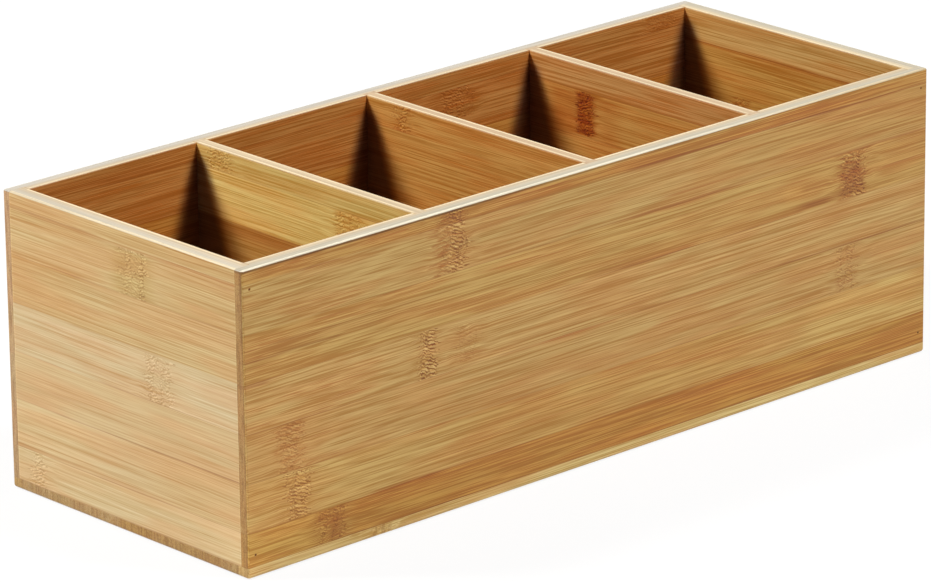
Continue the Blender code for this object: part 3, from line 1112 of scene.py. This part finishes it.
@dataclass(frozen=True)
class CaddySizes:
    """The box's real sizes in metres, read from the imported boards."""

    length: float
    width: float
    height: float
    wall: float
    end_board: float
    divider: float
    seam_height: float
    lip_face: float
    housing_end: float
    divider_places: tuple[float, ...]
    rim_easing: float = 0.0008
    inner_easing: float = 0.0005
    corner_easing: float = 0.0010
    foot_easing: float = 0.0012
    inside_corner: float = 0.0007

    @classmethod
    def from_frame(cls) -> "CaddySizes":
        """Reads the sizes, with each joint closed at the middle of its glue gap.

        Returns:
            The sizes.
        """
        base_low, base_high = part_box("base_panel")
        wall_low, wall_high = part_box("front_wall")
        end_low, end_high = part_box("left_end_board")
        boxes = [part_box(name) for name in DIVIDERS]
        half_gap = (wall_low.z - base_high.z) / 2
        return cls(
            length=base_high.x - base_low.x,
            width=base_high.y - base_low.y,
            height=wall_high.z,
            wall=wall_high.y - wall_low.y,
            end_board=end_high.x - end_low.x,
            divider=boxes[0][1].x - boxes[0][0].x,
            seam_height=base_high.z + half_gap,
            lip_face=end_high.y + half_gap,
            housing_end=boxes[0][1].y + half_gap,
            divider_places=tuple((low.x + high.x) / 2 for low, high in boxes),
        )

    @property
    def inner_length(self) -> float:
        """Length between the end boards."""
        return self.length - 2 * self.end_board

    @property
    def inner_width(self) -> float:
        """Width between the long walls."""
        return self.width - 2 * self.wall

    @property
    def pitch(self) -> float:
        """Distance from one compartment to the next."""
        return self.divider_places[1] - self.divider_places[0]

    @property
    def compartment_length(self) -> float:
        """Clear length of one compartment."""
        return self.pitch - self.divider


# Geometry


def link(name: str, content: bpy.types.ID) -> bpy.types.Object:
    """Puts a mesh, curve, lamp or camera in the scene.

    Args:
        name: Name of the object.
        content: What it holds, already in place.

    Returns:
        The object, at the origin.
    """
    piece = bpy.data.objects.new(name, content)
    bpy.context.scene.collection.objects.link(piece)
    return piece


def evaluated_mesh(piece: bpy.types.Object) -> bpy.types.Mesh:
    """Takes an object's mesh as its modifiers leave it, and removes the object.

    Args:
        piece: The object with its modifiers.

    Returns:
        The plain mesh.
    """
    bpy.context.view_layer.update()
    mesh = bpy.data.meshes.new_from_object(piece.evaluated_get(bpy.context.evaluated_depsgraph_get()))
    bpy.data.objects.remove(piece, do_unlink=True)
    return mesh


def boxes_object(name: str, boxes: list[tuple[Vector, Vector]]) -> bpy.types.Object:
    """Separate boxes in one mesh.

    Args:
        name: Name of the object.
        boxes: Lowest and highest corner of each box.

    Returns:
        The object.
    """
    shape = bmesh.new()
    for low, high in boxes:
        size = Matrix.Diagonal((*(high - low), 1.0))
        bmesh.ops.create_cube(shape, size=1.0, matrix=Matrix.Translation((low + high) / 2) @ size)
    mesh = bpy.data.meshes.new(name)
    shape.to_mesh(mesh)
    shape.free()
    return link(name, mesh)


class BoardTree(ShapeGraph):
    """Geometry tree that saws a board, cuts its joints, trims it and eases its rim."""

    CUTS = (("Joinery", "DIFFERENCE"), ("Bores", "DIFFERENCE"), ("Outer Form", "INTERSECT"),
            ("Rim Easing", "DIFFERENCE"))

    def __init__(self) -> None:
        """Builds the tree once for all the boards."""
        super().__init__("sawn_board")
        low, high = self.take("Low Corner", "Vector"), self.take("High Corner", "Vector")
        stock = self.step("MeshCube", Size=high - low)
        board = self.step("Transform", Geometry=stock, Translation=(high + low) * 0.5)
        for tool, operation in self.CUTS:
            board = self.work(board, operation, self.object_shape(self.take(tool, "Object")))
        self.close(self.smooth(board), Material=self.take("Finish", "Material"))

    def work(self, board: Wire, operation: str, shape: Wire) -> Wire:
        """Cuts the board with a tool, or keeps what lies inside the tool."""
        sockets = {0: [board, shape]} if operation == "INTERSECT" else {0: board, 1: shape}
        return self.wire("GeometryNodeMeshBoolean", {"operation": operation, "solver": "EXACT"}, sockets)

    def smooth(self, board: Wire) -> Wire:
        """Merges the corners that the cuts leave double, and smooths the eased edges.

        Args:
            board: The board after its last cut.

        Returns:
            The smoothed board.
        """
        merged = self.step("MergeByDistance", Geometry=board, Distance=MERGE_DISTANCE)
        faces = self.step("SetShadeSmooth", {"domain": "FACE"}, Geometry=merged)
        limit = self.take("Smoothing Angle", "Float", SMOOTHING_ANGLE)
        gentle = self.maths("LESS_THAN", self.step("InputMeshEdgeAngle"), limit)
        return self.step("SetShadeSmooth", {"domain": "EDGE"}, Geometry=faces, Shade_Smooth=gentle)


@dataclass
class CuttingTools:
    """The forms that cut joints, trim the outside and ease the arrises."""

    sizes: CaddySizes
    bore_diameter: float = 0.00128
    bore_depth: float = 0.0167
    made: dict[str, bpy.types.Object] = field(default_factory=dict)

    def build(self) -> None:
        """Makes every tool."""
        self.made["Joinery"] = self.joinery()
        self.made["Bores"] = self.bores()
        self.made["Outer Form"] = self.outer_form()
        self.made["Rim Easing"] = self.rim_easing()

    def clear(self) -> None:
        """Puts the tools away when the boards are made."""
        for tool in self.made.values():
            bpy.data.objects.remove(tool, do_unlink=True)
        self.made.clear()

    def joinery(self) -> bpy.types.Object:
        """Housings across both long walls and rabbets at their ends.

        Returns:
            The tool.
        """
        sizes = self.sizes
        bottom, top = -TRIM_ALLOWANCE, sizes.height + 2 * TRIM_ALLOWANCE
        shoulder, outside = sizes.inner_length / 2, sizes.length / 2 + 2 * TRIM_ALLOWANCE
        half = sizes.divider / 2
        cuts = [(x - half, x + half, sizes.housing_end) for x in sizes.divider_places]
        cuts += [(-outside, -shoulder, sizes.lip_face), (shoulder, outside, sizes.lip_face)]
        return boxes_object("joinery_tool", [(Vector((start, -reach, bottom)), Vector((stop, reach, top)))
                                             for start, stop, reach in cuts])

    def outer_form(self) -> bpy.types.Object:
        """The finished outside: a block with eased rim, corners and foot.

        Returns:
            The tool.
        """
        sizes = self.sizes
        low = Vector((-sizes.length / 2, -sizes.width / 2, 0.0))
        high = Vector((sizes.length / 2, sizes.width / 2, sizes.height))
        block = boxes_object("outer_form_block", [(low, high)])
        widest = max(sizes.rim_easing, sizes.corner_easing, sizes.foot_easing)
        shape = bmesh.new()
        shape.from_mesh(block.data)
        weight = shape.edges.layers.float.new("bevel_weight_edge")
        for edge in shape.edges:
            heights = sorted(corner.co.z for corner in edge.verts)
            easing = sizes.rim_easing if heights[0] > sizes.height / 2 else sizes.foot_easing
            if heights[1] - heights[0] > sizes.height / 2:
                easing = sizes.corner_easing
            edge[weight] = easing / widest
        shape.to_mesh(block.data)
        shape.free()
        bevel = block.modifiers.new("easing", "BEVEL")
        bevel.limit_method = "WEIGHT"
        bevel.width = widest
        bevel.segments = ARC_SEGMENTS
        return link("outer_form_tool", evaluated_mesh(block))

    def easing_bit(self) -> bpy.types.Object:
        """Outline of the bit that rounds the rim: outset across, height up.

        Returns:
            A closed curve in the XY plane.
        """
        radius = self.sizes.inner_easing
        arc = []
        for step in range(ARC_SEGMENTS + 1):
            angle = QUARTER_TURN * step / ARC_SEGMENTS
            arc.append(Vector((radius * (1 - math.cos(angle)), radius * (math.sin(angle) - 1))))
        start = arc[0] - (arc[1] - arc[0])
        stop = arc[-1] + (arc[-1] - arc[-2])
        inside = -self.sizes.inside_corner * 0.6
        outline = [start, *arc[1:-1], stop, Vector((stop.x, TRIM_ALLOWANCE)),
                   Vector((inside, TRIM_ALLOWANCE)), Vector((inside, start.y))]
        # The sweep turns the bit's height upside down, so the bit is drawn so and listed the other way round
        outline = [Vector((place.x, -place.y)) for place in reversed(outline)]
        curve = bpy.data.curves.new("easing_bit", "CURVE")
        spline = curve.splines.new("POLY")
        spline.points.add(len(outline) - 1)
        for point, place in zip(spline.points, outline):
            point.co = (place.x, place.y, 0.0, 1.0)
        spline.use_cyclic_u = True
        return link("easing_bit", curve)

    def rim_easing(self) -> bpy.types.Object:
        """Runs the easing bit round the top of every compartment.

        Returns:
            The tool: one ring for each compartment.
        """
        sizes = self.sizes
        bit = self.easing_bit()
        graph = ShapeGraph("rim_easing")
        path = graph.step("CurvePrimitiveQuadrilateral",
                          Width=graph.take("Compartment Length", "Float", sizes.compartment_length),
                          Height=graph.take("Compartment Width", "Float", sizes.inner_width))
        rounded = graph.step("FilletCurve", {"mode": "POLY"}, Curve=path,
                             Count=graph.take("Corner Segments", "Int", ARC_SEGMENTS),
                             Radius=graph.take("Corner Radius", "Float", sizes.inside_corner))
        level = graph.step("SetCurveNormal", {"mode": "Z_UP"}, Curve=rounded)
        outline = graph.object_shape(graph.take("Bit", "Object", bit))
        ring = graph.step("CurveToMesh", Curve=level, Profile_Curve=outline)
        first_middle = (-1.5 * sizes.pitch, 0.0, sizes.height)
        row = graph.step("MeshLine", {"mode": "OFFSET"},
                         Count=graph.take("Compartments", "Int", len(sizes.divider_places) + 1),
                         Start_Location=graph.take("First Middle", "Vector", first_middle),
                         Offset=graph.take("Pitch", "Vector", (sizes.pitch, 0.0, 0.0)))
        graph.close(graph.step("InstanceOnPoints", Points=row, Instance=ring))
        tool = graph.grow("rim_easing_tool")
        bpy.data.objects.remove(bit, do_unlink=True)
        return tool

    def bores(self) -> bpy.types.Object:
        """Bores for the pins, through the lips and on into the end boards.

        Returns:
            The tool.
        """
        depth = self.bore_depth + TRIM_ALLOWANCE
        middle = self.sizes.width / 2 - self.bore_depth + depth / 2
        return PinPlaces(self.sizes).cylinders("pin_bore_tool", middle, self.bore_diameter, depth)


@dataclass(frozen=True)
class PinPlaces:
    """Where the pins are, and the tree that sets something at all eight places."""

    sizes: CaddySizes
    drop_from_rim: float = 0.0075
    rise_from_floor: float = 0.0088
    sides: int = 16

    @property
    def upper(self) -> float:
        """Height of the upper pins."""
        return self.sizes.height - self.drop_from_rim

    @property
    def span(self) -> float:
        """Distance along the box between the pins at its two ends."""
        return self.sizes.length - self.sizes.end_board

    def from_axis(self, graph: Graph, x: Wire, z: Wire) -> Wire:
        """Distance from the nearest pin's axis.

        Args:
            graph: The material's tree.
            x: Distance from the middle of the length, in millimetres.
            z: Height in millimetres.

        Returns:
            The distance in millimetres.
        """
        aside = x - self.span / 2 * MILLIMETRES
        up = abs(z - self.upper * MILLIMETRES).smaller(abs(z - self.rise_from_floor * MILLIMETRES))
        return graph.maths("SQRT", aside * aside + up * up)

    def cylinders(self, name: str, middle: float, diameter: float, depth: float, dish: float = 0.0,
                  finish: bpy.types.Material | None = None) -> bpy.types.Object:
        """Sets a plug, or a bore's cutter, on every pin's axis.

        Args:
            name: Name of the object.
            middle: Distance of a plug's middle from the middle of the box, along its axis.
            diameter: Its diameter.
            depth: Its length.
            dish: How far the middle of its ends is sunk.
            finish: Its finish, or none for a cutter.

        Returns:
            The eight plugs as one object.
        """
        graph = ShapeGraph(name)
        size = (self.span, 2 * middle, self.upper - self.rise_from_floor)
        corners = graph.step("MeshCube", Size=graph.take("Places Size", "Vector", size))
        centre = (0.0, 0.0, (self.upper + self.rise_from_floor) / 2)
        places = graph.step("Transform", Geometry=corners,
                            Translation=graph.take("Places Middle", "Vector", centre))
        radius = graph.take("Radius", "Float", diameter / 2)
        stock = graph.step("MeshCylinder", {"fill_type": "TRIANGLE_FAN"}, Side_Segments=1, Fill_Segments=3,
                           Vertices=graph.take("Sides", "Int", self.sides), Radius=radius,
                           Depth=graph.take("Depth", "Float", depth))
        x, y, z = graph.split(graph.step("InputPosition"))
        from_axis = (x * x + y * y) / (radius * radius)
        sink = graph.maths("SIGN", z) * graph.take("Dish", "Float", dish) * (from_axis - 1)
        dished = graph.step("SetPosition", Geometry=stock, Offset=graph.join(0.0, 0.0, sink))
        turned = graph.step("Transform", Geometry=dished, Rotation=(QUARTER_TURN, 0.0, 0.0))
        set_in = graph.step("InstanceOnPoints", Points=places, Instance=turned)
        graph.close(set_in, Material=graph.take("Finish", "Material", finish))
        return graph.grow(name)


# Sub-assemblies


@dataclass
class Assembly:
    """Boards of one kind, sawn with the shared tools."""

    sizes: CaddySizes
    tools: CuttingTools
    tree: BoardTree

    @property
    def stock_top(self) -> float:
        """Height of a board's stock before it is trimmed to the rim."""
        return self.sizes.height + TRIM_ALLOWANCE

    def fit(self, name: str, node: str, corners: tuple[tuple, tuple], tools: tuple[str, ...], bamboo: Bamboo,
            slot: str) -> None:
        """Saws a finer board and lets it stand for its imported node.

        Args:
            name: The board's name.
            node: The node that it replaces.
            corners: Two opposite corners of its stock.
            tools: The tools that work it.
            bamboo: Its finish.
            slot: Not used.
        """
        low, high = (tuple(pick(pair) for pair in zip(*corners)) for pick in (min, max))
        values = {tool: self.tools.made[tool] for tool in tools}
        values |= {"Low Corner": low, "High Corner": high, "Finish": bamboo.material()}
        piece = self.tree.grow(name, values, weigh_normals=True)
        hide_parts(node)
        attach(piece, BODY)
        LOG.info("%s: %d faces, for %s", piece.name, len(piece.data.polygons), node)


@dataclass
class LongWalls(Assembly):
    """Front and back walls: full length, rabbeted at the ends, housed for the dividers."""

    def build(self) -> None:
        """Saws and dresses both walls."""
        sizes = self.sizes
        end = sizes.length / 2 + TRIM_ALLOWANCE
        walls = (("front_wall", -1, front_wall_bamboo()), ("back_wall", 1, back_wall_bamboo()))
        for node, side, bamboo in walls:
            corners = ((-end, side * sizes.inner_width / 2, sizes.seam_height),
                       (end, side * (sizes.width / 2 + TRIM_ALLOWANCE), self.stock_top))
            self.fit(node + "_board", node, corners, ("Joinery", "Bores", "Outer Form", "Rim Easing"), bamboo,
                     "bamboo_long_wall")


@dataclass
class EndBoards(Assembly):
    """End boards, seated in the rabbets between the lips of the long walls."""

    def build(self) -> None:
        """Saws and dresses both end boards."""
        sizes = self.sizes
        for node, side, bamboo in (("left_end_board", -1, left_end_bamboo()),
                                   ("right_end_board", 1, right_end_bamboo())):
            corners = ((side * sizes.inner_length / 2, -sizes.lip_face, sizes.seam_height),
                       (side * (sizes.length / 2 + TRIM_ALLOWANCE), sizes.lip_face, self.stock_top))
            self.fit(node + "_seated", node, corners, ("Bores", "Outer Form", "Rim Easing"), bamboo,
                     "bamboo_end_board")


@dataclass
class Dividers(Assembly):
    """The three dividers, flush with the rim, their ends in the housings."""

    def build(self) -> None:
        """Saws and dresses the dividers."""
        sizes = self.sizes
        half = sizes.divider / 2
        for node, x, bamboo in zip(DIVIDERS, sizes.divider_places, divider_bamboos()):
            corners = ((x - half, -sizes.housing_end, sizes.seam_height),
                       (x + half, sizes.housing_end, self.stock_top))
            self.fit(node + "_housed", node, corners, ("Outer Form", "Rim Easing"), bamboo, "bamboo_divider")


@dataclass
class BasePanel(Assembly):
    """The base of the full footprint, its edges flush with the walls."""

    def build(self) -> None:
        """Saws and dresses the base."""
        x, y = self.sizes.length / 2 + TRIM_ALLOWANCE, self.sizes.width / 2 + TRIM_ALLOWANCE
        corners = ((-x, -y, -TRIM_ALLOWANCE), (x, y, self.sizes.seam_height))
        self.fit("base_panel_glued", "base_panel", corners, ("Outer Form",), base_bamboo(), "bamboo_base")


@dataclass
class Pins:
    """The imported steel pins, and the dark filler over their sunk ends."""

    sizes: CaddySizes
    sunk: float = 0.0004
    below_face: float = 0.00002
    diameter: float = 0.00128
    dish: float = 0.00005

    def build(self) -> None:
        """Dresses the pins and fills the bores over them."""
        steel = PinSteel().material()
        pins = [node for name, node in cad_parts.items() if name.endswith("_pin")]
        for pin in pins:
            pin.data.materials.clear()
            pin.data.materials.append(steel)
        depth = self.sunk - self.below_face
        middle = self.sizes.width / 2 - self.below_face - depth / 2
        places = PinPlaces(self.sizes)
        plugs = places.cylinders("pin_fillers", middle, self.diameter, depth, self.dish,
                                 Filler(places).material())
        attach(plugs, BODY)
        LOG.info("pins: %d dressed, fillers of %d faces over them", len(pins), len(plugs.data.polygons))


# Studio


def direction(azimuth: float, elevation: float) -> Vector:
    """Unit vector from the box towards a lamp or the camera."""
    return Vector((math.sin(azimuth) * math.cos(elevation), -math.cos(azimuth) * math.cos(elevation),
                   math.sin(elevation)))


@dataclass(frozen=True)
class Softbox:
    """A large soft lamp, aimed at the caddy."""

    name: str
    azimuth: float
    elevation: float
    distance: float
    size: float
    power: float

    def build(self, target: Vector) -> None:
        """Hangs the lamp.

        Args:
            target: Point that it is aimed at.
        """
        back = direction(math.radians(self.azimuth), math.radians(self.elevation))
        lamp = bpy.data.lights.new(self.name, "AREA")
        lamp.shape = "SQUARE"
        lamp.size = self.size
        lamp.energy = self.power
        hung = link(self.name, lamp)
        hung.location = target + back * self.distance
        hung.rotation_euler = back.to_track_quat("Z", "Y").to_euler()
        hung.visible_camera = False


@dataclass(frozen=True)
class Studio:
    """White floor, white surroundings and two softboxes."""

    floor_size: float = 60.0
    floor_drop: float = 0.0003
    ambient: float = 0.02
    floor_glow: float = 0.85
    aim: tuple[float, float, float] = (0.0, 0.0, 0.06)
    lamps: tuple[Softbox, ...] = (
        Softbox("left_softbox", -130.0, 44.5, 1.8, 0.45, 38.0),
        Softbox("right_softbox", 28.4, 60.4, 1.8, 0.45, 33.0),
    )

    def build(self) -> None:
        """Lays the floor, lights the world and hangs the lamps."""
        self.lay_floor()
        self.light_world()
        for lamp in self.lamps:
            lamp.build(Vector(self.aim))
        bpy.context.scene.view_settings.view_transform = "Standard"
        LOG.info("studio: floor, world and %d softboxes", len(self.lamps))

    @staticmethod
    def seen(graph: Graph) -> Wire:
        """One for rays from the camera, from gloss and through glass."""
        path = graph.node("ShaderNodeLightPath")
        seen = graph.out(path, "Is Camera Ray").larger(graph.out(path, "Is Glossy Ray"))
        return seen.larger(graph.out(path, "Is Transmission Ray"))

    def lay_floor(self) -> None:
        """A plain white floor that glows to the camera and keeps a soft shadow."""
        half = self.floor_size / 2
        mesh = bpy.data.meshes.new("studio_floor")
        turns = ((-1, -1), (1, -1), (1, 1), (-1, 1))
        mesh.from_pydata([(half * x, half * y, -self.floor_drop) for x, y in turns], [], [(0, 1, 2, 3)])
        floor = link("studio_floor", mesh)
        material = bpy.data.materials.new("studio_floor_paint")
        material.use_nodes = True
        graph = Graph(material.node_tree)
        paint = graph.wire("ShaderNodeBsdfDiffuse", {}, {"Color": (0.86, 0.86, 0.86)})
        glow = graph.wire("ShaderNodeEmission", {}, {"Color": (1.0, 1.0, 1.0), "Strength": 1.0})
        share = self.seen(graph) * self.floor_glow
        mixed = graph.wire("ShaderNodeMixShader", {}, {0: share, 1: paint, 2: glow})
        graph.node("ShaderNodeOutputMaterial", {}, {"Surface": mixed})
        mesh.materials.append(material)

    def light_world(self) -> None:
        """White surroundings, dimmer as light than as background."""
        world = bpy.data.worlds.new("studio_surroundings")
        world.use_nodes = True
        graph = Graph(world.node_tree)
        strength = self.ambient + (1.0 - self.ambient) * self.seen(graph)
        background = graph.wire("ShaderNodeBackground", {}, {"Color": (1.0, 1.0, 1.0), "Strength": strength})
        graph.node("ShaderNodeOutputWorld", {}, {"Surface": background})
        bpy.context.scene.world = world


@dataclass(frozen=True)
class PhotoCamera:
    """The photograph's camera: a long lens, a little to the left and above."""

    target: tuple[float, float, float] = (0.0065, 0.01526, 0.04598)
    azimuth: float = -0.7431202
    elevation: float = 0.3278068
    roll: float = -0.0120340
    distance: float = 2.402081
    lens: float = 240.15
    sensor: float = 36.0
    reach: tuple[float, float] = (0.05, 200.0)

    def build(self) -> None:
        """Places the camera and makes it the scene's."""
        back = direction(self.azimuth, self.elevation)
        right = Vector((math.cos(self.azimuth), math.sin(self.azimuth), 0.0))
        up = back.cross(right)
        turned_right = math.cos(self.roll) * right + math.sin(self.roll) * up
        turned_up = math.cos(self.roll) * up - math.sin(self.roll) * right
        data = bpy.data.cameras.new("photo_camera")
        data.lens = self.lens
        data.sensor_width = self.sensor
        data.sensor_fit = "HORIZONTAL"
        data.clip_start, data.clip_end = self.reach
        camera = link("photo_camera", data)
        turn = Matrix((turned_right, turned_up, back)).transposed()
        camera.matrix_world = Matrix.Translation(Vector(self.target) + back * self.distance) @ turn.to_4x4()
        bpy.context.scene.camera = camera
        LOG.info("camera: lens %.1f mm at %.2f m", self.lens, self.distance)


def main() -> None:
    """Builds the studio and the caddy in order."""
    logging.basicConfig(level=logging.INFO, format="%(name)s: %(message)s")
    PhotoCamera().build()
    Studio().build()
    sizes = CaddySizes.from_frame()
    LOG.info("sizes: %s", sizes)
    tools = CuttingTools(sizes)
    tools.build()
    tree = BoardTree()
    for assembly in (BasePanel, LongWalls, EndBoards, Dividers):
        assembly(sizes, tools, tree).build()
    tools.clear()
    Pins(sizes).build()


if __name__ == "__main__":
    main()
